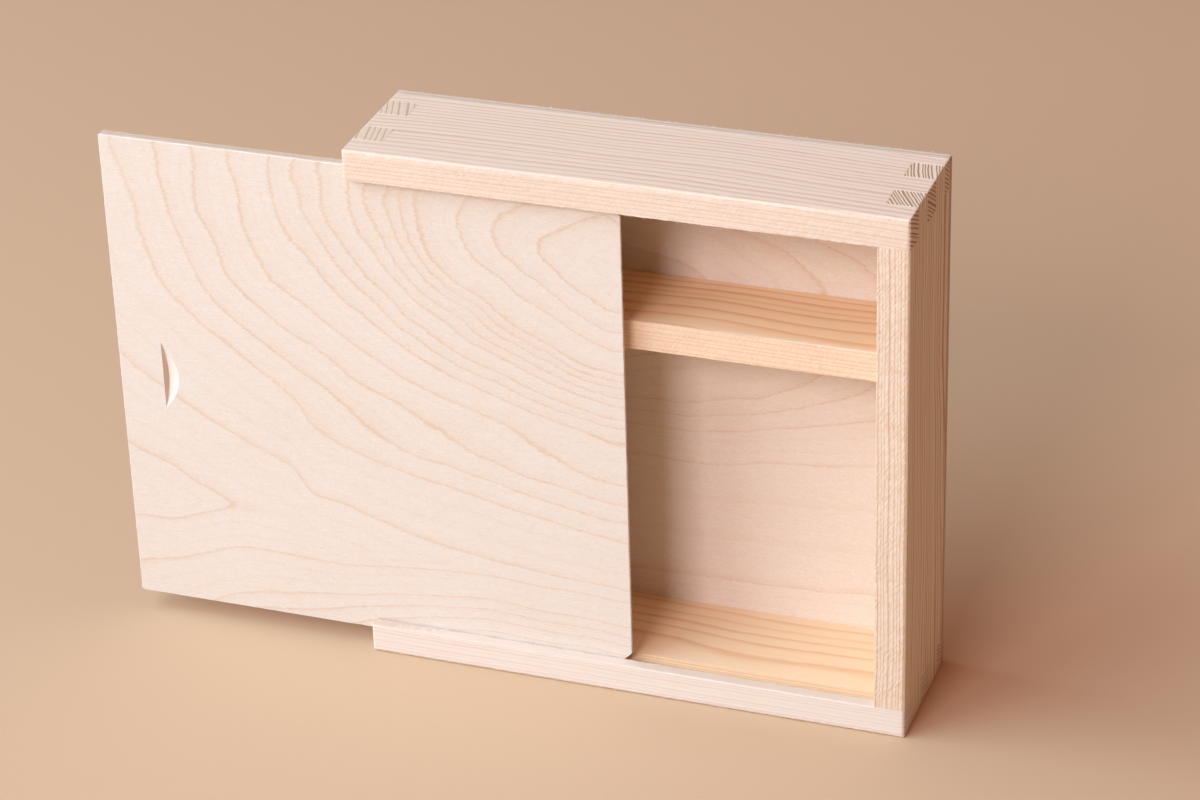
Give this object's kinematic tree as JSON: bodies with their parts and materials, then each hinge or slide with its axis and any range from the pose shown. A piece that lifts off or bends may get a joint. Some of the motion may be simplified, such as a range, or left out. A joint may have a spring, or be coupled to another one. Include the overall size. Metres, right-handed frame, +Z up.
{
  "type": "sliding-lid wooden box",
  "caption": "Small pine keepsake box standing on its long edge, with finger-jointed corners, a fixed shelf and a birch plywood lid that slides sideways in grooves.",
  "frame": {"origin": "centre of the box's underside, on the surface it stands on; the lid that stands out at the left isn't counted", "axes": "+Z up as the box stands, +Y from the open front to the plywood back, +X from the entry end to the closed end"},
  "size_m": [0.265, 0.048, 0.18],
  "materials": {
    "pine": "sanded, unfinished pine with straight grain",
    "birch_face": "sanded, unfinished birch veneer",
    "birch_core": "birch core veneer, seen as end grain at the edges"
  },
  "bodies": {
    "box": {"top_side": "pine", "bottom_side": "pine", "closed_end": "pine", "entry_end": "pine", "shelf": "pine", "back_inner_veneer": "birch_face", "back_core": "birch_core", "back_outer_veneer": "birch_face"},
    "lid": {"lid_front_veneer": "birch_face", "lid_core": "birch_core", "lid_rear_veneer": "birch_face"}
  },
  "joints": [
    {"name": "lid_slide", "type": "slide", "parent": "box", "child": "lid", "axis": [-1, 0, 0], "range_m": [-0.0848, 0.09]}
  ]
}
